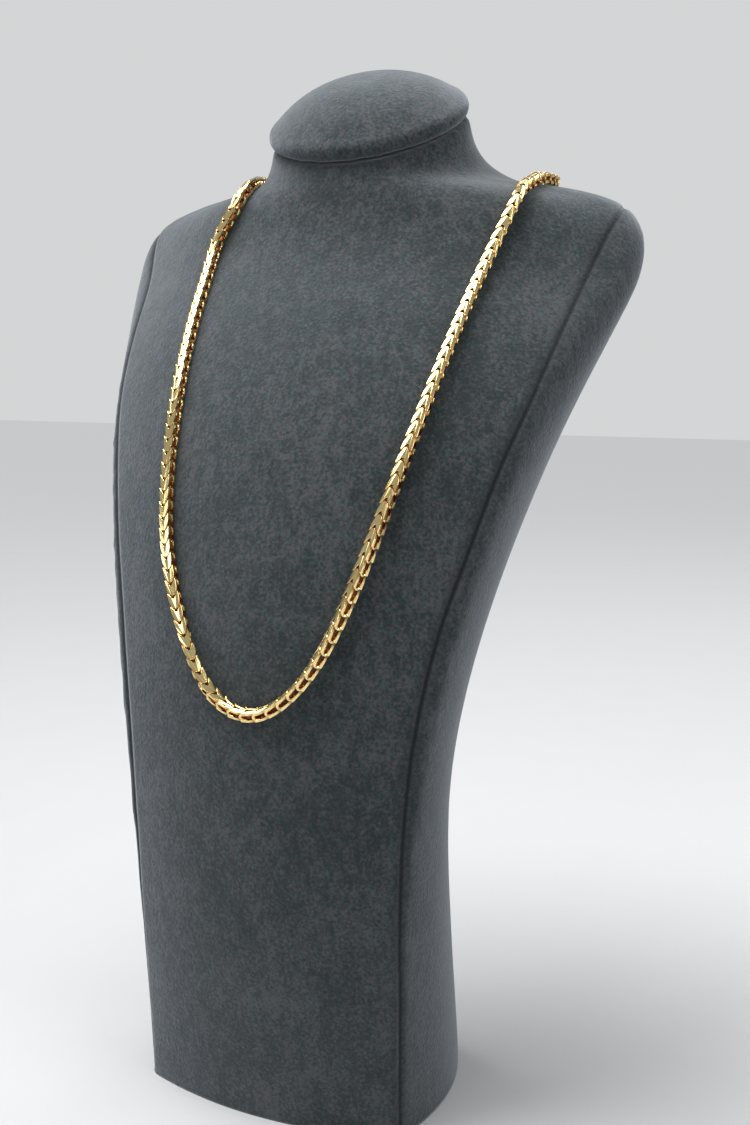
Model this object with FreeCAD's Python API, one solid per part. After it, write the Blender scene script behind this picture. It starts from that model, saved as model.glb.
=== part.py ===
import FreeCAD, Part
import math
import os
import Mesh

Vector = FreeCAD.Vector

# A square franco chain of 4 mm on a padded neck bust.
# Millimetres. X to the viewer's right, Y away from the viewer, Z up, the origin under the middle of the whole.

# Driving dimensions of the chain
chain_side = 4.2
link_count = 133
wire_radius = 0.45
wire_sides = 5
surface_gap = 0.3

# Driving dimensions of the bust
neck_centre_depth = 30.6
cap_height_centre = 372.0
cap_tilt = 30.0
cap_half_width = 41.0
cap_half_depth = 37.0
cap_rise = 19.0
cap_edge_rise = 7.0
cap_edge_draft = 3.0
cap_foot_draft = 1.5
cap_gap = 0.2
cutting_box = 300.0

# The bust's level sections, lofted from the foot to the neck. The front and the sides meet at a sewn seam.
section_columns = ("height", "seam_half", "front", "seam_depth", "widest_half", "widest_depth",
                   "back_half", "back_seam_depth", "back")
bust_sections = (
    (0.0, 53.3, -62.4, -52.4, 58.9, -16.6, 49.8, 16.5, 26.5),
    (12.0, 53.5, -63.3, -53.3, 58.9, -18.1, 49.8, 14.5, 24.5),
    (42.0, 54.1, -66.1, -55.6, 58.9, -23.0, 50.1, 7.6, 18.1),
    (77.0, 55.3, -68.9, -57.4, 59.0, -28.3, 50.5, 0.3, 11.8),
    (124.0, 59.2, -70.9, -57.4, 60.8, -32.8, 52.1, -5.4, 8.6),
    (172.0, 66.5, -68.9, -52.4, 67.4, -25.2, 57.5, 3.2, 20.2),
    (222.0, 77.9, -59.4, -39.0, 79.3, -8.9, 68.4, 21.5, 40.5),
    (264.0, 87.7, -44.9, -20.4, 92.2, 10.1, 79.4, 39.6, 61.1),
    (299.0, 94.7, -23.9, 5.1, 105.5, 23.1, 91.4, 46.6, 66.6),
    (317.0, 98.2, -11.4, 19.6, 109.5, 32.9, 95.1, 53.9, 71.9),
    (330.0, 98.5, -5.4, 26.6, 108.0, 38.6, 95.0, 56.1, 73.1),
    (338.0, 93.0, -3.4, 30.1, 102.5, 41.6, 92.0, 56.6, 72.1),
    (344.0, 78.0, -2.4, 30.6, 90.0, 43.1, 84.0, 56.6, 71.1),
    (348.5, 51.0, -1.4, 23.1, 68.0, 42.1, 68.0, 54.1, 68.6),
    (352.5, 40.5, -0.9, 19.1, 50.5, 37.1, 55.0, 49.6, 66.1),
    (359.0, 37.0, -0.9, 17.6, 43.5, 33.1, 44.5, 46.6, 64.6),
    (369.0, 35.5, -0.9, 17.1, 40.6, 30.6, 38.3, 45.1, 63.1),
    (380.0, 35.2, -0.9, 17.1, 40.3, 30.1, 35.2, 43.1, 61.1),
    (394.0, 35.2, -0.9, 17.1, 40.3, 30.1, 35.2, 43.1, 61.1),
    (408.0, 35.2, -0.9, 17.1, 40.3, 30.1, 35.2, 43.1, 61.1),
)

# The chain's line on the bust's surface: across, depth and height. It runs from the nape over the right
# shoulder, down the front and up again to the nape.
chain_line = (
    (9.0, 69.6, 347.5),
    (27.0, 69.1, 347.5),
    (44.0, 66.6, 347.5),
    (58.0, 62.6, 348.0),
    (68.0, 55.6, 349.0),
    (71.5, 45.1, 350.0),
    (71.0, 34.1, 349.0),
    (68.8, 22.1, 345.0),
    (66.3, 10.1, 334.0),
    (60.8, -4.0, 311.0),
    (55.6, -27.5, 279.0),
    (49.6, -43.6, 248.8),
    (41.9, -54.6, 218.5),
    (31.7, -63.1, 187.9),
    (19.8, -67.9, 167.3),
    (3.9, -70.1, 157.0),
    (-13.3, -69.0, 163.8),
    (-26.2, -65.0, 183.3),
    (-38.1, -56.6, 213.9),
    (-43.0, -46.5, 246.0),
    (-47.0, -30.3, 278.6),
    (-50.8, -9.9, 307.5),
    (-50.2, 1.1, 326.4),
    (-44.5, 3.7, 338.2),
    (-41.5, 9.1, 347.0),
    (-45.0, 20.1, 349.0),
    (-50.0, 33.1, 349.0),
    (-52.5, 47.1, 349.0),
    (-48.5, 58.1, 348.5),
    (-39.5, 65.1, 348.0),
    (-26.0, 68.6, 347.5),
    (-9.0, 69.6, 347.5),
)
inner_axis_depth = 29.1
inner_axis_height = 297.0
inner_axis_lean = 0.33
inner_ray_length = 250.0
aim_clearance = 4.5
line_samples = 220

# The chain's roll about its own line: the distance from its lowest point, positive up the left side, and degrees.
# At nought the V face looks away from the bust, and a positive roll turns it to the inside of the loop.
chain_roll = (
    (-400.0, 0.0),
    (-150.0, 0.0),
    (-105.0, 14.0),
    (-75.0, 34.0),
    (-45.0, 56.0),
    (-15.0, 70.0),
    (10.0, 66.0),
    (30.0, 42.0),
    (50.0, 24.0),
    (80.0, 10.0),
    (150.0, 2.0),
    (400.0, 0.0),
)

# One quarter of a link, in chain sides: out to the V face and sideways to the edge face.
# The wire runs out at the link's foot, up a leg that leans apart, and in to half of the arch.
link_foot = (0.388, 0.115)
link_leg_top = (0.330, 0.385)
link_arch = (0.115, 0.345)
# How far the leg stops below the next link's foot, and how far the arch stands above it
leg_shortfall = 0.12
arch_reach = 1.22

# The closed clasp at the nape and the cap on each end of the chain
clasp_reach = 7.2
clasp_bend_radius = 2.6
clasp_wire_radius = 0.6
clasp_barrel_radius = 1.1
clasp_barrel_half = 3.2
clasp_barrel_round = 0.4
clasp_lift = 0.9
clasp_lift_reach = 40.0
loop_radius = 1.5
loop_wire_radius = 0.42
end_cap_side = 5.5
end_cap_length = 6.0
end_cap_round = 0.6
end_cap_pocket_side = 4.8
end_cap_pocket_depth = 4.7
end_cap_overlap = 4.0


def three_point_arc(start, middle, end):
    return Part.Arc(start, middle, end).toShape()


def section_wire(row):
    size = dict(zip(section_columns, row))
    z = size["height"]
    front_right = Vector(size["seam_half"], size["seam_depth"], z)
    front_left = Vector(-size["seam_half"], size["seam_depth"], z)
    back_right = Vector(size["back_half"], size["back_seam_depth"], z)
    back_left = Vector(-size["back_half"], size["back_seam_depth"], z)
    side_right = Vector(size["widest_half"], size["widest_depth"], z)
    side_left = Vector(-size["widest_half"], size["widest_depth"], z)
    front = three_point_arc(front_left, Vector(0, size["front"], z), front_right)
    right = three_point_arc(front_right, side_right, back_right)
    back = three_point_arc(back_right, Vector(0, size["back"], z), back_left)
    left = three_point_arc(back_left, side_left, front_left)
    return Part.Wire([front, right, back, left])


def make_bust_body():
    body = Part.makeLoft([section_wire(row) for row in bust_sections], True, False)
    above = Part.makeBox(cutting_box, cutting_box, cutting_box, Vector(-cutting_box / 2.0, -cutting_box / 2.0, 0))
    above.rotate(Vector(0, 0, 0), Vector(1, 0, 0), cap_tilt)
    above.translate(Vector(0, neck_centre_depth, cap_height_centre))
    return body.cut(above)


def make_neck_cap():
    radius = cap_half_width
    foot = Vector(radius - cap_foot_draft, 0, 0)
    shoulder = Vector(radius - cap_edge_draft, 0, cap_edge_rise)
    summit = Vector(0, 0, cap_rise)
    edge = three_point_arc(foot, Vector(radius, 0, cap_edge_rise * 0.45), shoulder)
    top = three_point_arc(shoulder, Vector(radius * 0.55, 0, cap_rise * 0.85), summit)
    axis = Part.makeLine(summit, Vector(0, 0, 0))
    floor = Part.makeLine(Vector(0, 0, 0), foot)
    face = Part.Face(Part.Wire([floor, edge, top, axis]))
    dome = face.revolve(Vector(0, 0, 0), Vector(0, 0, 1), 360)
    squash = FreeCAD.Matrix()
    squash.scale(1.0, cap_half_depth / cap_half_width, 1.0)
    dome = dome.transformGeometry(squash)
    dome.translate(Vector(0, 0, cap_gap))
    dome.rotate(Vector(0, 0, 0), Vector(1, 0, 0), cap_tilt)
    dome.translate(Vector(0, neck_centre_depth, cap_height_centre))
    return dome


def guide_point(body, row):
    """A place a little off the bust's surface, straight out of it at the row's place."""
    across, depth, height = row
    inner_height = min(height, inner_axis_height)
    start = Vector(across, inner_axis_depth - (inner_axis_height - inner_height) * inner_axis_lean, inner_height)
    ray = (Vector(across, depth, height) - start).normalize()
    line = Part.makeLine(start, start + ray * inner_ray_length)
    ends = [vertex.Point for vertex in line.common(body).Vertexes]
    surface = max(ends, key=lambda point: (point - start).Length)
    kind, number, place = body.distToShape(Part.Vertex(surface))[2][0][:3]
    if kind == "Face":
        ray = body.Faces[number].normalAt(*place)
    return surface + ray * aim_clearance


def closed_curve(points):
    """A smooth closed curve whose parameter is the point's own number."""
    curve = Part.BSplineCurve()
    curve.interpolate(Points=points, PeriodicFlag=True, Parameters=[float(i) for i in range(len(points) + 1)])
    return curve


def eased_value(table, x):
    """A table's value between its rows, eased in and out."""
    for (x0, y0), (x1, y1) in zip(table, table[1:]):
        if x <= x1:
            share = (x - x0) / (x1 - x0)
            return y0 + (y1 - y0) * share * share * (3.0 - 2.0 * share)
    return table[-1][1]


def surface_feet(body):
    """Evenly spaced points on the bust under the chain, and the way out of the surface at each."""
    aims = closed_curve([guide_point(body, row) for row in chain_line])
    step = aims.length() / line_samples
    feet = []
    outs = []
    for i in range(line_samples):
        aim = aims.value(aims.parameterAtDistance(step * i, aims.FirstParameter))
        foot = body.distToShape(Part.Vertex(aim))[1][0][0]
        feet.append(foot)
        outs.append((aim - foot).normalize())
    return feet, outs


def lift_above_surface(along, total):
    """How far the chain's middle lies above the bust, from its roll and from the clasp's thickness."""
    roll = math.radians(eased_value(chain_roll, along))
    lift = chain_side / 2.0 * (abs(math.cos(roll)) + abs(math.sin(roll))) + surface_gap
    nearness = max(0.0, 1.0 - (total / 2.0 - abs(along)) / clasp_lift_reach)
    return lift + clasp_lift * nearness * nearness * (3.0 - 2.0 * nearness)


def make_chain_path(body):
    """The closed middle line of the chain with its ways out of the surface, counted from its lowest point."""
    feet, outs = surface_feet(body)
    lowest = min(range(line_samples), key=lambda i: feet[i].z)
    feet = feet[lowest:] + feet[:lowest]
    outs = outs[lowest:] + outs[:lowest]
    total = closed_curve(feet).length()
    lifted = []
    for i in range(line_samples):
        along = total * i / line_samples
        if along > total / 2.0:
            along -= total
        lifted.append(feet[i] + outs[i] * lift_above_surface(along, total))
    curve = closed_curve(lifted)
    return {"curve": curve, "outs": outs, "length": curve.length()}


def path_frame(path, along):
    """At a distance from the lowest point: the place, the V face's way out, the edge face's, and the chain's way."""
    number = path["curve"].parameterAtDistance(along % path["length"], path["curve"].FirstParameter)
    place = path["curve"].value(number)
    way = Vector(*path["curve"].tangent(number)[0]).normalize()
    before = int(number) % line_samples
    share = number - int(number)
    out = path["outs"][before] * (1.0 - share) + path["outs"][(before + 1) % line_samples] * share
    inside = way.cross(out).normalize()
    out = inside.cross(way).normalize()
    roll = math.radians(eased_value(chain_roll, along))
    face = out * math.cos(roll) + inside * math.sin(roll)
    return place, face, way.cross(face), way


def link_rings(pitch):
    """The wire's section at each of the twelve corners of a link, as rings of points."""
    heights = (0.0, pitch - leg_shortfall, pitch + arch_reach)
    quarter = []
    for (out, side), height in zip((link_foot, link_leg_top, link_arch), heights):
        quarter.append(Vector(out * chain_side, side * chain_side, height))
    corners = []
    for x_sign, y_sign in ((1, 1), (1, -1), (-1, -1), (-1, 1)):
        turned = [Vector(point.x * x_sign, point.y * y_sign, point.z) for point in quarter]
        corners += turned if x_sign == y_sign else turned[::-1]
    rings = []
    for i, corner in enumerate(corners):
        before = (corner - corners[i - 1]).normalize()
        after = (corners[(i + 1) % len(corners)] - corner).normalize()
        way = (before + after).normalize()
        out = Vector(corner.x, corner.y, 0)
        out = (out - way * out.dot(way)).normalize()
        side = way.cross(out)
        ring = []
        for j in range(wire_sides):
            turn = 2.0 * math.pi * j / wire_sides
            ring.append(corner + (out * math.cos(turn) + side * math.sin(turn)) * wire_radius)
        rings.append(ring)
    return rings


def make_link(path, rings, along):
    """One link laid along the path from its foot, as a closed faceted solid."""
    laid = []
    for ring in rings:
        points = []
        for point in ring:
            place, face, edge, way = path_frame(path, along + point.z)
            points.append(place + face * point.x + edge * point.y)
        laid.append(points)
    triangles = []
    for i, ring in enumerate(laid):
        following = laid[(i + 1) % len(laid)]
        for j in range(wire_sides):
            k = (j + 1) % wire_sides
            triangles.append((ring[j], ring[k], following[k]))
            triangles.append((ring[j], following[k], following[j]))
    shell = Part.Shape()
    shell.makeShapeFromMesh(Mesh.Mesh(triangles).Topology, 0.001)
    solid = Part.Solid(Part.Shell(shell.Faces))
    if solid.Volume < 0:
        solid.reverse()
    return solid


def make_chain_halves(path):
    """The loose links of each half, from the right end cap to the left one."""
    cap_start = clasp_reach + loop_radius + end_cap_length - end_cap_overlap
    first = -path["length"] / 2.0 + cap_start + wire_radius
    last_arch_end = path["length"] / 2.0 - cap_start - wire_radius
    pitch = (last_arch_end - arch_reach - first) / link_count
    rings = link_rings(pitch)
    halves = {"chain_right": [], "chain_left": []}
    for i in range(link_count):
        along = first + pitch * i
        halves["chain_right" if along < 0 else "chain_left"].append(make_link(path, rings, along))
    print("links", link_count, "pitch", round(pitch, 3), "whole loop", round(path["length"], 1))
    return halves


def placed(shape, place, x_way, z_way):
    """A shape built at the origin, laid at a place with its X and Z along the given ways."""
    x_way = (x_way - z_way * x_way.dot(z_way)).normalize()
    y_way = z_way.cross(x_way)
    matrix = FreeCAD.Matrix(x_way.x, y_way.x, z_way.x, place.x,
                            x_way.y, y_way.y, z_way.y, place.y,
                            x_way.z, y_way.z, z_way.z, place.z,
                            0, 0, 0, 1)
    return shape.transformShape(matrix)


def make_end_cap(path, sign):
    """A square sleeve over the chain's end, with a ring soldered to its closed end. Its Z points at the chain."""
    half = end_cap_side / 2.0
    pocket_half = end_cap_pocket_side / 2.0
    sleeve = Part.makeBox(end_cap_side, end_cap_side, end_cap_length, Vector(-half, -half, loop_radius))
    sleeve = sleeve.makeFillet(end_cap_round, sleeve.Edges)
    pocket_start = loop_radius + end_cap_length - end_cap_pocket_depth
    pocket = Part.makeBox(end_cap_pocket_side, end_cap_pocket_side, end_cap_pocket_depth * 2.0,
                          Vector(-pocket_half, -pocket_half, pocket_start))
    ring = Part.makeTorus(loop_radius, loop_wire_radius, Vector(0, 0, 0), Vector(0, 1, 0))
    cap = sleeve.cut(pocket).fuse(ring)
    middle = loop_radius + end_cap_length / 2.0
    along = sign * (path["length"] / 2.0 - clasp_reach - middle)
    place, face, edge, way = path_frame(path, along)
    toward_chain = way * -sign
    return placed(cap, place - toward_chain * middle, face, toward_chain)


def make_clasp(path):
    """A closed ring with straight sides, one of them a barrel, through the rings of both end caps."""
    straight = clasp_reach - clasp_bend_radius
    bend = clasp_bend_radius
    corners = [Vector(0, -bend, -straight), Vector(0, -bend, straight),
               Vector(0, bend, straight), Vector(0, bend, -straight)]
    line = Part.Wire([
        Part.makeLine(corners[0], corners[1]),
        three_point_arc(corners[1], Vector(0, 0, clasp_reach), corners[2]),
        Part.makeLine(corners[2], corners[3]),
        three_point_arc(corners[3], Vector(0, 0, -clasp_reach), corners[0]),
    ])
    section = Part.Wire([Part.makeCircle(clasp_wire_radius, corners[0], Vector(0, 0, 1))])
    ring = line.makePipeShell([section], True, True)
    barrel = Part.makeCylinder(clasp_barrel_radius, clasp_barrel_half * 2.0,
                               Vector(0, bend, -clasp_barrel_half), Vector(0, 0, 1))
    barrel = barrel.makeFillet(clasp_barrel_round, [edge for edge in barrel.Edges if edge.Closed])
    clasp = ring.fuse(barrel)
    half_length = path["length"] / 2.0
    right, face_right, edge_right, way_right = path_frame(path, -half_length + clasp_reach)
    left, face_left, edge_left, way_left = path_frame(path, half_length - clasp_reach)
    face = (face_right + face_left).normalize()
    return placed(clasp, (right + left) * 0.5, face, (left - right).normalize())


def write_node(name, shape):
    box = shape.BoundBox
    print(name, shape.isValid(), len(shape.Solids), round(shape.Volume), "faces", len(shape.Faces),
          [round(v, 1) for v in (box.XMin, box.XMax, box.YMin, box.YMax, box.ZMin, box.ZMax)])
    shape.exportStep("parts/" + name + ".step")


os.makedirs("parts", exist_ok=True)
bust_body = make_bust_body()
write_node("bust_body", bust_body)
write_node("neck_cap", make_neck_cap())
chain_path = make_chain_path(bust_body)
for half_name, links in make_chain_halves(chain_path).items():
    write_node(half_name, Part.makeCompound(links))
write_node("end_cap_left", make_end_cap(chain_path, 1))
write_node("end_cap_right", make_end_cap(chain_path, -1))
write_node("clasp", make_clasp(chain_path))
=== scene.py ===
import bpy, bmesh, math
import numpy as np
from mathutils import Vector, Matrix
from mathutils.bvhtree import BVHTree


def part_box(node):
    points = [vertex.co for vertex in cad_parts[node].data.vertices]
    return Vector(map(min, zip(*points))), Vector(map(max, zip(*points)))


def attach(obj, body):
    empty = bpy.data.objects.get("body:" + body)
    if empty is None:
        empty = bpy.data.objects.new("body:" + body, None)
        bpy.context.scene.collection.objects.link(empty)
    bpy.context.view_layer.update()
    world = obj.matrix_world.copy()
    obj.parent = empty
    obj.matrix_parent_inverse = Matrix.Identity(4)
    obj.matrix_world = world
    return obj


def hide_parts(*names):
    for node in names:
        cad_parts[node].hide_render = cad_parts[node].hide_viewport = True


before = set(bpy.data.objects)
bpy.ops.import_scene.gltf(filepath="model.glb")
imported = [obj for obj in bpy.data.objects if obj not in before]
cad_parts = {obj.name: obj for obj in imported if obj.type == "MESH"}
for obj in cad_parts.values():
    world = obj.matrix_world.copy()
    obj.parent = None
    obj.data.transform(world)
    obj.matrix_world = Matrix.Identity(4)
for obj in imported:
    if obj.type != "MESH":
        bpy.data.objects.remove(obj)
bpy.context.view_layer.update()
mm = 0.001


def newObject(name, data):
    thing = bpy.data.objects.new(name, data)
    bpy.context.scene.collection.objects.link(thing)
    return thing


def meshFrom(bm, name):
    mesh = bpy.data.meshes.new(name)
    bm.to_mesh(mesh)
    bm.free()
    return mesh


def everything(bm):
    return bm.verts[:] + bm.edges[:] + bm.faces[:]


def vertsIn(geometry):
    return [part for part in geometry if isinstance(part, bmesh.types.BMVert)]


def mergedCopy(node):
    # the CAD mesh is loose triangles, so its corners are joined first, within a micron
    bm = bmesh.new()
    bm.from_mesh(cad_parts[node].data)
    bmesh.ops.remove_doubles(bm, verts=bm.verts, dist=1e-6)
    return bm


# the camera, in millimetres and degrees: turned to its left, down, and rolled
view = {"place": (217.24, -449.16, 272.87), "turn": 23.943, "down": 8.146, "roll": 0.564,
        "lens": 61.10, "sensor": 36}


def aimCamera():
    turn, down, roll = (math.radians(view[key]) for key in ("turn", "down", "roll"))
    ahead = Vector((-math.sin(turn) * math.cos(down), math.cos(turn) * math.cos(down), -math.sin(down)))
    right = Vector((math.cos(turn), math.sin(turn), 0))
    up = right.cross(ahead)
    tilt = Matrix.Rotation(roll, 3, -ahead)
    axes = Matrix((tilt @ right, tilt @ up, -ahead)).transposed().to_4x4()
    data = bpy.data.cameras.new("photoCamera")
    data.sensor_fit, data.sensor_width, data.lens = "HORIZONTAL", view["sensor"], view["lens"]
    camera = newObject("photoCamera", data)
    camera.matrix_world = Matrix.Translation(Vector(view["place"]) * mm) @ axes
    bpy.context.scene.camera = camera


aimCamera()
print("camera is set")


# node helpers for the materials
def setInputs(tree, node, inputs):
    # a socket is linked, and a plain value is set
    for key, value in inputs.items():
        if isinstance(value, bpy.types.NodeSocket):
            tree.links.new(value, node.inputs[key])
        else:
            node.inputs[key].default_value = value


def addNode(tree, kind, inputs=None, **settings):
    node = tree.nodes.new(kind)
    for key, value in settings.items():
        setattr(node, key, value)
    setInputs(tree, node, inputs or {})
    return node


def addPlace(tree):
    return addNode(tree, "ShaderNodeTexCoord").outputs["Object"]


def addNoise(tree, where, scale, detail, **more):
    inputs = {"Vector": where, "Scale": scale, "Detail": detail, **more}
    return addNode(tree, "ShaderNodeTexNoise", inputs).outputs[0]


def addTurned(tree, where, turn, scale):
    inputs = {"Vector": where, "Rotation": turn, "Scale": scale}
    return addNode(tree, "ShaderNodeMapping", inputs).outputs[0]


def addRange(tree, value, low, high, start=0.0, end=1.0, **settings):
    # from start at low to end at high
    inputs = {0: value, 1: low, 2: high, 3: start, 4: end}
    return addNode(tree, "ShaderNodeMapRange", inputs, **settings).outputs[0]


def addRamp(tree, value, stops):
    ramp = addNode(tree, "ShaderNodeValToRGB", {0: value})
    for stop, (place, colour) in zip(ramp.color_ramp.elements, (stops[0], stops[-1])):
        stop.position, stop.color = place, (*colour, 1)
    for place, colour in stops[1:-1]:
        ramp.color_ramp.elements.new(place).color = (*colour, 1)
    return ramp.outputs[0]


def addMix(tree, share, first, second, blend="MIX"):
    inputs = {0: share, 6: first, 7: second}
    return addNode(tree, "ShaderNodeMix", inputs, data_type="RGBA", blend_type=blend).outputs[2]


def addMath(tree, operation, first, second):
    return addNode(tree, "ShaderNodeMath", {0: first, 1: second}, operation=operation).outputs[0]


def addShares(tree, *parts):
    # the sum of some values, each by its share
    total = addMath(tree, "MULTIPLY", *parts[0])
    for value, share in parts[1:]:
        total = addMath(tree, "ADD", total, addMath(tree, "MULTIPLY", value, share))
    return total


def addStir(tree, value, noise, amount):
    # the value, moved up and down by a noise
    stir = addMath(tree, "MULTIPLY", addMath(tree, "SUBTRACT", noise, 0.5), amount)
    return addMath(tree, "ADD", value, stir)


def addBump(tree, height, depth, strength):
    inputs = {"Height": height, "Distance": depth, "Strength": strength}
    return addNode(tree, "ShaderNodeBump", inputs).outputs[0]


def newGroup(name, inputs):
    # every group here puts out a colour, a roughness and a height
    group = bpy.data.node_groups.new(name, "ShaderNodeTree")
    outputs = {"Color": "Color", "Roughness": "Float", "Height": "Float"}
    for labels, way in ((inputs, "INPUT"), (outputs, "OUTPUT")):
        for label, kind in labels.items():
            group.interface.new_socket(label, in_out=way, socket_type="NodeSocket" + kind)
    return group, group.nodes.new("NodeGroupInput").outputs, group.nodes.new("NodeGroupOutput")


def newMaterial(name):
    material = bpy.data.materials.new(name)
    material.use_nodes = True
    return material, material.node_tree, material.node_tree.nodes["Principled BSDF"]


# suede: brushed nap in soft blotches over a fine grain
suede = {"dark": (0.0135, 0.0200, 0.0210), "mid": (0.029, 0.0350, 0.0368), "light": (0.054, 0.0565, 0.0600),
         # noise scales to the metre, and their shares of the shade and of the height
         "blotch": 30, "brush": 260, "grain": 800, "hue": 520.0,
         "shade": {"blotch": 0.25, "brush": 0.27, "grain": 0.48},
         "height": {"grain": 0.6, "tuft": 0.5, "brush": 0.6},
         "brushTurn": (0.3, 0.5, 0.2), "brushDraw": 0.55,
         # where the shade turns from dark to mid and from mid to light
         "darkToMid": (0.42, 0.51), "midToLight": (0.50, 0.59), "rough": (0.84, 0.98),
         "tints": [(0.38, (0.84, 1.07, 1.04)), (0.5, (1, 1, 1)), (0.62, (1.09, 0.96, 1.0))],
         "grainDepth": 0.00030, "grainStrength": 0.7, "specular": 0.12,
         "sheen": 0.45, "sheenRough": 0.5, "sheenTint": (0.80, 0.86, 0.92)}

# the seam's look, by the millimetres away from its line: painted shade, a dark core in the groove within a
# soft painted shadow beside it
seamLook = {"stir": 0.7, "stirScale": 420.0,
            "core": (0.30, 1.25), "grooveShadeShare": 0.88, "grooveShadeColour": (0.004, 0.005, 0.006), "coreDepth": 0.6,
            "shadow": (0.6, 5.0), "shadowShare": 0.45, "shadowColour": (0.016, 0.019, 0.021)}


def napGroup():
    inputs = {"Dark": "Color", "Mid": "Color", "Light": "Color",
              "Blotch": "Float", "Brush": "Float", "Grain": "Float"}
    group, given, put = newGroup("brushedNap", inputs)
    where = addPlace(group)
    blotch = addNoise(group, where, given["Blotch"], 4, Roughness=0.62, Distortion=0.4)
    drawn = addTurned(group, where, suede["brushTurn"], (1, 1, suede["brushDraw"]))
    brush = addNoise(group, drawn, given["Brush"], 3, Roughness=0.6)
    grain = addNoise(group, where, given["Grain"], 2, Roughness=0.7)
    tuft = addNode(group, "ShaderNodeTexVoronoi", {"Vector": where, "Scale": given["Grain"]}).outputs[0]
    part, rise = suede["shade"], suede["height"]
    shade = addShares(group, (blotch, part["blotch"]), (brush, part["brush"]), (grain, part["grain"]))
    low = addRange(group, shade, *suede["darkToMid"])
    high = addRange(group, shade, *suede["midToLight"])
    colour = addMix(group, high, addMix(group, low, given["Dark"], given["Mid"]), given["Light"])
    tint = addRamp(group, addNoise(group, where, suede["hue"], 2), suede["tints"])
    setInputs(group, put, {
        "Color": addMix(group, 1.0, colour, tint, "MULTIPLY"),
        "Roughness": addRange(group, brush, 0.0, 1.0, *suede["rough"]),
        "Height": addShares(group, (grain, rise["grain"]), (tuft, rise["tuft"]), (brush, rise["brush"]))})
    return group


def suedeMaterial(name, group):
    material, tree, shader = newMaterial(name)
    nap = addNode(tree, "ShaderNodeGroup", {
        "Dark": (*suede["dark"], 1), "Mid": (*suede["mid"], 1), "Light": (*suede["light"], 1),
        "Blotch": suede["blotch"], "Brush": suede["brush"], "Grain": suede["grain"]}, node_tree=group).outputs
    away = addNode(tree, "ShaderNodeAttribute", attribute_name="seamAway").outputs["Fac"]
    away = addStir(tree, away, addNoise(tree, addPlace(tree), seamLook["stirScale"], 2), seamLook["stir"])
    core = addRange(tree, away, *seamLook["core"], 1.0, 0.0, interpolation_type="SMOOTHSTEP")
    shadow = addRange(tree, away, *seamLook["shadow"], 1.0, 0.0, interpolation_type="SMOOTHSTEP")
    shadowShare = addMath(tree, "MULTIPLY", shadow, seamLook["shadowShare"])
    grooveShadeShare = addMath(tree, "MULTIPLY", core, seamLook["grooveShadeShare"])
    # painted shade: the soft shadow beside the seam and the dark core in its groove are mixed into the
    # suede's colour
    colour = addMix(tree, shadowShare, nap["Color"], (*seamLook["shadowColour"], 1))
    colour = addMix(tree, grooveShadeShare, colour, (*seamLook["grooveShadeColour"], 1))
    pressed = addMath(tree, "MULTIPLY", core, seamLook["coreDepth"])
    height = addMath(tree, "SUBTRACT", nap["Height"], pressed)
    setInputs(tree, shader, {
        "Base Color": colour, "Roughness": nap["Roughness"],
        "Normal": addBump(tree, height, suede["grainDepth"], suede["grainStrength"]),
        "Specular IOR Level": suede["specular"], "Sheen Weight": suede["sheen"],
        "Sheen Roughness": suede["sheenRough"], "Sheen Tint": (*suede["sheenTint"], 1)})
    return material


# gold: polished flats, and painted shade: a deeper orange painted in the gaps, where the light has bounced
# between links
gold = {"flat": (1.0, 0.80, 0.37), "gapShade": (0.50, 0.17, 0.03), "rough": 0.11, "deepRough": 0.34,
        # the share of the way in at which the painted gap shade is full, and from where to where the gold
        # gets rougher
        "gapShadeBy": 0.40, "roughRange": (0.05, 0.8),
        "scratch": 2600.0, "scratchTurn": (0.4, 0.7, 0.3), "scratchDraw": 0.12,
        "scratchRough": 0.12, "scratchDepth": 0.000012, "scratchStrength": 0.5,
        "haze": 260.0, "hazeTints": [(0.35, (0.93, 0.90, 0.84)), (0.65, (1.0, 1.0, 1.0))]}


def polishGroup():
    inputs = {"Flat": "Color", "GapShade": "Color", "Inward": "Float", "Smooth": "Float", "Dull": "Float"}
    group, given, put = newGroup("wornPolish", inputs)
    where = addPlace(group)
    drawn = addTurned(group, where, gold["scratchTurn"], (1, gold["scratchDraw"], 1))
    scratch = addNoise(group, drawn, gold["scratch"], 3, Roughness=0.7)
    warm = addRamp(group, addNoise(group, where, gold["haze"], 3), gold["hazeTints"])
    # painted shade: the colour turns deep orange towards the gaps between links, by the inward depth
    gapShade = addRange(group, given["Inward"], 0.0, gold["gapShadeBy"])
    rough = addRange(group, given["Inward"], *gold["roughRange"], given["Smooth"], given["Dull"])
    setInputs(group, put, {
        "Color": addMix(group, 1.0, addMix(group, gapShade, given["Flat"], given["GapShade"]), warm, "MULTIPLY"),
        "Roughness": addStir(group, rough, scratch, gold["scratchRough"]),
        "Height": scratch})
    return group


def goldMaterial(name, group, worked):
    # the links' own depth, which sets their painted gap shade, is in their attribute, and plain pieces count
    # as flat all over
    material, tree, shader = newMaterial(name)
    inward = addNode(tree, "ShaderNodeAttribute", attribute_name="inward").outputs["Fac"] if worked else 0.0
    polish = addNode(tree, "ShaderNodeGroup", {
        "Flat": (*gold["flat"], 1), "GapShade": (*gold["gapShade"], 1), "Inward": inward,
        "Smooth": gold["rough"], "Dull": gold["deepRough"]}, node_tree=group).outputs
    setInputs(tree, shader, {
        "Base Color": polish["Color"], "Roughness": polish["Roughness"], "Metallic": 1.0,
        "Normal": addBump(tree, polish["Height"], gold["scratchDepth"], gold["scratchStrength"])})
    return material


nap, polish = napGroup(), polishGroup()
sewnSuede = suedeMaterial("sewnSuede", nap)
linkGold = goldMaterial("linkGold", polish, True)
plainGold = goldMaterial("plainGold", polish, False)
print("materials are made")

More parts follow.
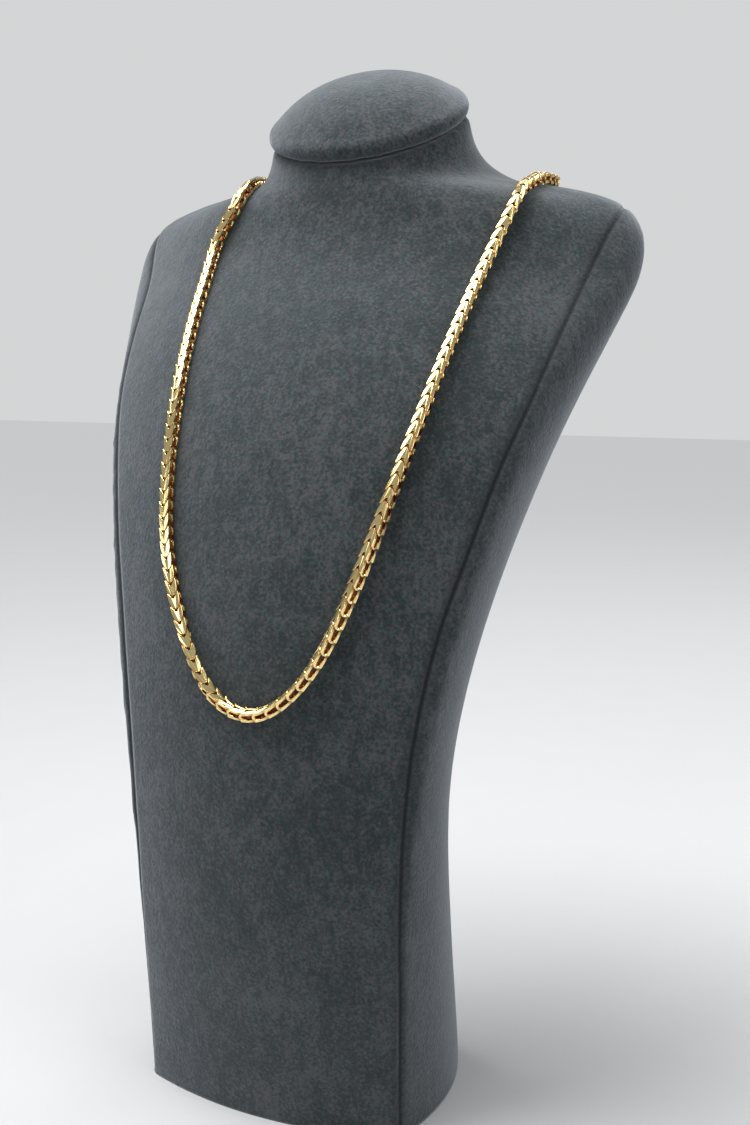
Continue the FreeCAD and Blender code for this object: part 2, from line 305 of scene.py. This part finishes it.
# the suede over the form, in millimetres: remeshed evenly, smoothed, and with the seams pressed in
cover = {"voxel": 2.4, "capVoxel": 1.3, "smoothing": 3, "fill": 1.0,
         # the foot is drawn out below the floor for the remesh
         "footHeight": 0.5, "footDrawn": 8,
         # the groove along the seam, how many widths it reaches, and the bands beside it that are made finer
         "groove": 0.75, "grooveWidth": 1.3, "grooveReach": 4, "finer": (5, 2.4),
         # places on the line for each row of the table, and how far the line runs on below the foot
         "seamSteps": 14, "seamBelow": 5,
         "slices": 60,  # the cloth is measured in slices, to spare memory
         # height, half the width, depth: up the side panel's front, over the shoulder's tip, down its back
         "seam": [(0, 53.3, -52), (46, 53.6, -54.7), (83, 54.2, -57.4), (115.5, 55.6, -58.8),
                  (149, 58.4, -57.6), (184, 64.1, -52.4), (218, 72.7, -42.6), (243, 79, -33.2),
                  (263, 84.7, -22.5), (288, 90.3, -5.4), (308, 94.2, 11.6), (324, 98.1, 23.3),
                  (333, 101, 30.5), (339, 101, 43), (333, 97, 54), (317, 95.1, 53.9),
                  (299, 91.4, 46.6), (264, 79.4, 39.6), (222, 68.4, 21.5), (172, 57.5, 3.2),
                  (124, 52.1, -5.4), (77, 50.5, 0.3), (42, 50.1, 7.6), (0, 49.8, 16.5)]}


def remeshed(bm, name, voxel):
    # the foot is drawn out for the remesh and cut off flat afterwards
    for vert in bm.verts:
        if vert.co.z < cover["footHeight"] * mm:
            vert.co.z = -cover["footDrawn"] * mm
    raw = newObject(name + "Raw", meshFrom(bm, name + "Raw"))
    modifier = raw.modifiers.new("even", "REMESH")
    modifier.mode, modifier.voxel_size = "VOXEL", voxel * mm
    even = bpy.data.meshes.new_from_object(raw.evaluated_get(bpy.context.evaluated_depsgraph_get()))
    bpy.data.objects.remove(raw)
    bm = bmesh.new()
    bm.from_mesh(even)
    for _ in range(cover["smoothing"]):
        bmesh.ops.smooth_vert(bm, verts=bm.verts, factor=0.5,
                              use_axis_x=True, use_axis_y=True, use_axis_z=True)
    bmesh.ops.bisect_plane(bm, geom=everything(bm), plane_co=(0, 0, 0), plane_no=(0, 0, -1), clear_outer=True)
    bmesh.ops.holes_fill(bm, edges=[edge for edge in bm.edges if edge.is_boundary])
    return bm


def roundedLine(rows, i, t):
    # between rows i and i + 1, the place at the share t and the way that the line runs there
    before, a, b, after = rows[max(i - 1, 0)], rows[i], rows[i + 1], rows[min(i + 2, len(rows) - 1)]
    bend = 2 * before - 5 * a + 4 * b - after
    twist = 3 * a - before - 3 * b + after
    place = 0.5 * (2 * a + (b - before) * t + bend * t ** 2 + twist * t ** 3)
    way = 0.5 * ((b - before) + 2 * bend * t + 3 * twist * t ** 2)
    return place, way


def seamOn(bm):
    # the seam's rounded line, laid on the cloth and run on below the foot
    rows = np.array(cover["seam"], float)
    shares = np.arange(cover["seamSteps"]) / cover["seamSteps"]
    line = [roundedLine(rows, i, t)[0] for i in range(len(rows) - 1) for t in shares] + [rows[-1]]
    cloth = BVHTree.FromBMesh(bm)
    seam = np.array([cloth.find_nearest(Vector((x, y, z)) * mm)[0] for z, x, y in line]) / mm
    seam[0, 2] = seam[-1, 2] = -cover["seamBelow"]
    return seam


def awayFromPiece(bm, tree):
    return np.array([tree.find_nearest(vert.co)[3] for vert in bm.verts]) / mm


def awayFromSeams(bm, seam, capTree):
    # millimetres to the side seams or to the cap's edge, whichever is nearer
    places = np.array([vert.co for vert in bm.verts]) / mm
    places[:, 0] = np.abs(places[:, 0])
    starts, runs = seam[:-1], seam[1:] - seam[:-1]
    nearest = []
    for part in np.array_split(places, cover["slices"]):
        away = part[:, None] - starts
        share = np.clip((away * runs).sum(2) / (runs * runs).sum(1), 0, 1)
        nearest.append(np.sqrt(((away - share[..., None] * runs) ** 2).sum(2)).min(1))
    return np.minimum(np.concatenate(nearest), awayFromPiece(bm, capTree))


def sewSeams(bm, capTree):
    # the cloth beside the seams and under the cap is made finer, and the seams are pressed in
    seam = seamOn(bm)
    for reach in cover["finer"]:
        near = awayFromSeams(bm, seam, capTree) < reach
        bm.verts.index_update()
        edges = [edge for edge in bm.edges if near[edge.verts[0].index] and near[edge.verts[1].index]]
        bmesh.ops.subdivide_edges(bm, edges=edges, cuts=1, use_grid_fill=True)
        bmesh.ops.triangulate(bm, faces=[face for face in bm.faces if len(face.verts) > 4])
    nearest = awayFromSeams(bm, seam, capTree)
    bm.normal_update()
    for vert, gap in zip(bm.verts, nearest):
        if gap < cover["grooveReach"] * cover["grooveWidth"]:
            vert.co -= vert.normal * cover["groove"] * mm * math.exp(-(gap / cover["grooveWidth"]) ** 2)
    return nearest


def finishCloth(bm, name, node, seamAway):
    for vert in bm.verts:
        vert.co.z = max(vert.co.z, 0)
    for face in bm.faces:
        face.smooth = len(face.verts) < 5  # a flat foot is one face of many corners
    mesh = meshFrom(bm, name)
    mesh.attributes.new("seamAway", "FLOAT", "POINT").data.foreach_set("value", seamAway.astype(np.float32))
    mesh.materials.append(sewnSuede)
    piece = newObject(name, mesh)
    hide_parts(node)
    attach(piece, "root")
    print(name, "has", len(mesh.polygons), "faces")


bust = remeshed(mergedCopy("bust_body"), "bustCover", cover["voxel"])
cap = remeshed(mergedCopy("neck_cap"), "capCover", cover["capVoxel"])
capAway = awayFromPiece(cap, BVHTree.FromBMesh(bust))
bustAway = sewSeams(bust, BVHTree.FromBMesh(cap))
finishCloth(bust, "bustCover", "bust_body", bustAway)
finishCloth(cap, "capCover", "neck_cap", capAway)

# one link, in sides of the chain from the chain's middle line: a plate on each V face, joined by two arches
link = {"side": 4.2, "pitch": 4.946, "thick": 0.28,
        # sideways and along, half of the plate's outline from the nose round to the crotch
        "outline": [(0, 0), (0.13, 0.02), (0.25, 0.12), (0.35, 0.32), (0.42, 0.56), (0.465, 0.80),
                    (0.49, 1.30), (0.485, 1.46), (0.445, 1.455), (0.327, 1.239), (0.173, 1.104),
                    (0.13, 0.98), (0.07, 0.91), (0, 0.89)],
        # out, sideways and along, half of the arch that joins the plates' arms over each edge face
        "arch": [(0.27, 0.33, 0.98), (0.275, 0.335, 1.22), (0.22, 0.335, 1.41), (0.10, 0.335, 1.52),
                 (0, 0.335, 1.54)],
        "archRadius": 0.155, "archSides": 8,
        # each side of the plate falls away past a crease, which starts beside the middle and leans out
        "creaseStart": 0.09, "creaseLean": 0.10, "facet": 0.20, "creaseNear": 1e-5,
        # the nose lies lower than the arms, and the plate's rim is bevelled where it turns sharply
        "sink": 0.02, "sinkEnd": 1.3, "rim": 0.022, "rimTurn": 0.9,
        # the gold's painted gap shade deepens inwards from this far out, over this depth
        "deepFrom": 0.46, "deepOver": 0.22,
        # the corners of a CAD link that count as its foot: four rings of five
        "footCorners": 20}


def turnHalf(bm, verts):
    bmesh.ops.rotate(bm, verts=verts, cent=(0, 0, 0), matrix=Matrix.Rotation(math.pi, 3, "Z"))


def addArches(bm):
    half = [Vector(place) for place in link["arch"]]
    path = half + [Vector((-place.x, place.y, place.z)) for place in half[-2::-1]]
    for turned in (False, True):
        rings = []
        for i, place in enumerate(path):
            way = path[min(i + 1, len(path) - 1)] - path[max(i - 1, 0)]
            stand = Matrix.Translation(place) @ way.to_track_quat("Z", "Y").to_matrix().to_4x4()
            rings.append(bmesh.ops.create_circle(bm, segments=link["archSides"], radius=link["archRadius"],
                                                 matrix=stand)["verts"])
        edges = [list(dict.fromkeys(edge for vert in ring for edge in vert.link_edges)) for ring in rings]
        for a, b in zip(edges, edges[1:]):
            bmesh.ops.bridge_loops(bm, edges=a + b)
        for ring in (rings[0], rings[-1]):
            bmesh.ops.contextual_create(bm, geom=ring)
        if turned:
            turnHalf(bm, [vert for ring in rings for vert in ring])


def linkShape():
    bm = bmesh.new()
    thick, start, lean = link["thick"], link["creaseStart"], link["creaseLean"]
    half = link["outline"]
    corners = half + [(-y, z) for y, z in half[-2:0:-1]]
    plate = bm.faces.new([bm.verts.new((0.5 - thick, y, z)) for y, z in corners])
    raised = bmesh.ops.extrude_face_region(bm, geom=[plate])["geom"]
    bmesh.ops.translate(bm, verts=vertsIn(raised), vec=(thick, 0, 0))
    bmesh.ops.recalc_face_normals(bm, faces=bm.faces)
    for sign in (1, -1):
        bmesh.ops.bisect_plane(bm, geom=everything(bm), plane_co=(0, sign * start, 0),
                               plane_no=(0, sign, -lean), dist=link["creaseNear"])
    halfway = 0.5 - thick / 2  # corners past it are on the outer face
    for vert in bm.verts:
        if vert.co.x > halfway:
            vert.co.x -= link["facet"] * max(0, abs(vert.co.y) - start - lean * vert.co.z)
    for vert in bm.verts:
        vert.co.x -= link["sink"] * max(0, 1 - vert.co.z / link["sinkEnd"])
    rim = [edge for edge in bm.edges if all(vert.co.x > halfway for vert in edge.verts)
           and edge.calc_face_angle(0) > link["rimTurn"]]
    bmesh.ops.bevel(bm, geom=rim, offset=link["rim"], segments=1, profile=0.5, material=-1, affect="EDGES")
    turnHalf(bm, vertsIn(bmesh.ops.duplicate(bm, geom=everything(bm))["geom"]))
    addArches(bm)
    bmesh.ops.recalc_face_normals(bm, faces=bm.faces)
    bmesh.ops.scale(bm, vec=(link["side"], link["side"], link["side"]), verts=bm.verts)
    return meshFrom(bm, "linkShape")


def looseLinks(node):
    # the corners of each loose link of a CAD node
    bm = mergedCopy(node)
    left = dict.fromkeys(bm.verts)  # in the mesh's order, so that every run gives the same
    links = []
    while left:
        found, front = [], [left.popitem()[0]]
        while front:
            vert = front.pop()
            found.append(vert.co.copy())
            for edge in vert.link_edges:
                other = edge.other_vert(vert)
                if other in left:
                    del left[other]
                    front.append(other)
        links.append(np.array(found) / mm)
    bm.free()
    return links


def linksInOrder():
    # each link's node and corners, from the right end cap on
    left = [(node, points) for node in ("chain_right", "chain_left") for points in looseLinks(node)]
    here = np.mean(np.array(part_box("end_cap_right")), 0) / mm
    order = []
    while left:
        nearest = min(range(len(left)), key=lambda i: np.linalg.norm(left[i][1].mean(0) - here))
        order.append(left.pop(nearest))
        here = order[-1][1].mean(0)
    return order


def linkFrames():
    # every link's foot, the way out of its V face, and its node
    order = linksInOrder()
    ways = np.gradient(np.array([points.mean(0) for node, points in order]), axis=0)
    feet, faces = [], []
    for (node, points), way in zip(order, ways):
        foot = points[np.argsort(points @ way)[:link["footCorners"]]]
        face = np.linalg.svd(foot - foot.mean(0))[2][0]  # a foot is longest from V face to V face
        feet.append(foot.mean(0))
        faces.append(face if not faces or face @ faces[-1] > 0 else -face)
    # two more places past the last link, for its arms
    step = feet[-1] - feet[-2]
    feet += [feet[-1] + step, feet[-1] + 2 * step]
    faces += [faces[-1], faces[-1]]
    return np.array(feet), np.array(faces), [node for node, points in order]


def alongChain(feet, faces, number):
    # the chain's frame at a link's number, which may lie between two links
    i = int(min(max(math.floor(number), 0), len(feet) - 2))
    t = number - i
    place, way = roundedLine(feet, i, t)
    way /= np.linalg.norm(way)
    face = faces[i] * (1 - t) + faces[i + 1] * t
    face -= way * (face @ way)
    face /= np.linalg.norm(face)
    return place, face, np.cross(way, face)


def linkDepths(corners):
    # how far in from the outermost faces each corner lies, from nought to one
    outermost = np.maximum(np.abs(corners[:, 0]), np.abs(corners[:, 1])) / link["side"]
    return np.clip((link["deepFrom"] - outermost) / link["deepOver"], 0, 1)


def layChain(name, node, shape, feet, faces, owners):
    corners = np.array([vert.co for vert in shape.vertices])
    depths = linkDepths(corners)
    bm = bmesh.new()
    inward = bm.verts.layers.float.new("inward")
    for k, owner in enumerate(owners):
        if owner != node:
            continue
        first = len(bm.verts)
        bm.from_mesh(shape)
        bm.verts.ensure_lookup_table()
        frames = {}
        for i, (x, y, z) in enumerate(corners):
            height = round(float(z), 3)
            if height not in frames:
                frames[height] = alongChain(feet, faces, k + z / link["pitch"])
            place, face, edge = frames[height]
            vert = bm.verts[first + i]
            vert.co = Vector((place + face * x + edge * y) * mm)
            # painted shade: how deep each corner lies sets the gold's painted gap shade and its roughness
            vert[inward] = depths[i]
    mesh = meshFrom(bm, name)
    mesh.materials.append(linkGold)
    piece = newObject(name, mesh)
    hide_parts(node)
    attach(piece, "root")
    print(name, "has", len(mesh.polygons), "faces,", owners.count(node), "links")


shape = linkShape()
feet, faces, owners = linkFrames()
for name, node in (("linksRight", "chain_right"), ("linksLeft", "chain_left")):
    layChain(name, node, shape, feet, faces, owners)
for node in ("end_cap_left", "end_cap_right", "clasp"):
    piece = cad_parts[node]
    piece.data.materials.clear()
    piece.data.materials.append(plainGold)
print("chain is laid")

# floor, sky and lights, in metres
studio = {"floor": (0.50, 0.50, 0.507), "floorHalf": 6, "floorRough": 0.8, "paper": 30.0, "paperShade": 0.985,
          # the sky as the camera sees it and as the object feels it
          "seen": (0.66, 0.665, 0.67), "felt": (0.80, 0.82, 0.85), "feltPower": 0.44,
          "sun": (-0.85, -0.30, 1.45), "sunPower": 2.9, "sunSpread": 45,
          # place, aimed at, size, power
          "lamps": [((-0.1, -0.1, 1.0), (0, 0, 0), 0.5, 5), ((1.3, -0.2, 1.0), (0, 0, 0.3), 0.9, 6),
                    ((0.4, 0.9, 1.4), (0, 0, 0.3), 1.0, 5), ((-1.3, -0.9, 0.35), (0, 0, 0.25), 0.45, 1.6),
                    ((0.9, -1.3, 0.5), (0, 0, 0.25), 0.4, 1.2), ((-0.3, -1.4, 0.9), (0, 0, 0.25), 0.4, 1.4)]}


def layFloor():
    bm = bmesh.new()
    bmesh.ops.create_grid(bm, x_segments=1, y_segments=1, size=studio["floorHalf"])
    paper, tree, shader = newMaterial("palePaper")
    fine = addNoise(tree, addPlace(tree), studio["paper"], 4)
    shaded = tuple(part * studio["paperShade"] for part in studio["floor"])
    pale = addRamp(tree, fine, [(0.3, shaded), (0.7, studio["floor"])])
    setInputs(tree, shader, {"Base Color": pale, "Roughness": studio["floorRough"]})
    floor = newObject("floor", meshFrom(bm, "floor"))
    floor.data.materials.append(paper)


def paintSky():
    world = bpy.data.worlds.new("studio")
    bpy.context.scene.world = world
    world.use_nodes = True
    tree = world.node_tree
    seen = addNode(tree, "ShaderNodeLightPath").outputs["Is Camera Ray"]
    felt = tuple(part * studio["feltPower"] for part in studio["felt"])
    setInputs(tree, tree.nodes["Background"], {0: addMix(tree, seen, (*felt, 1), (*studio["seen"], 1))})


def addLight(name, kind, place, target, **settings):
    data = bpy.data.lights.new(name, kind)
    for key, value in settings.items():
        setattr(data, key, value)
    light = newObject(name, data)
    light.location = place
    light.rotation_euler = (Vector(target) - Vector(place)).to_track_quat("-Z", "Y").to_euler()


layFloor()
paintSky()
addLight("softSun", "SUN", studio["sun"], (0, 0, 0),
         energy=studio["sunPower"], angle=math.radians(studio["sunSpread"]))
for i, (place, target, size, power) in enumerate(studio["lamps"]):
    addLight("lamp%d" % i, "AREA", place, target, shape="DISK", size=size, energy=power)
bpy.context.scene.view_settings.view_transform = "Standard"
print("studio is lit")
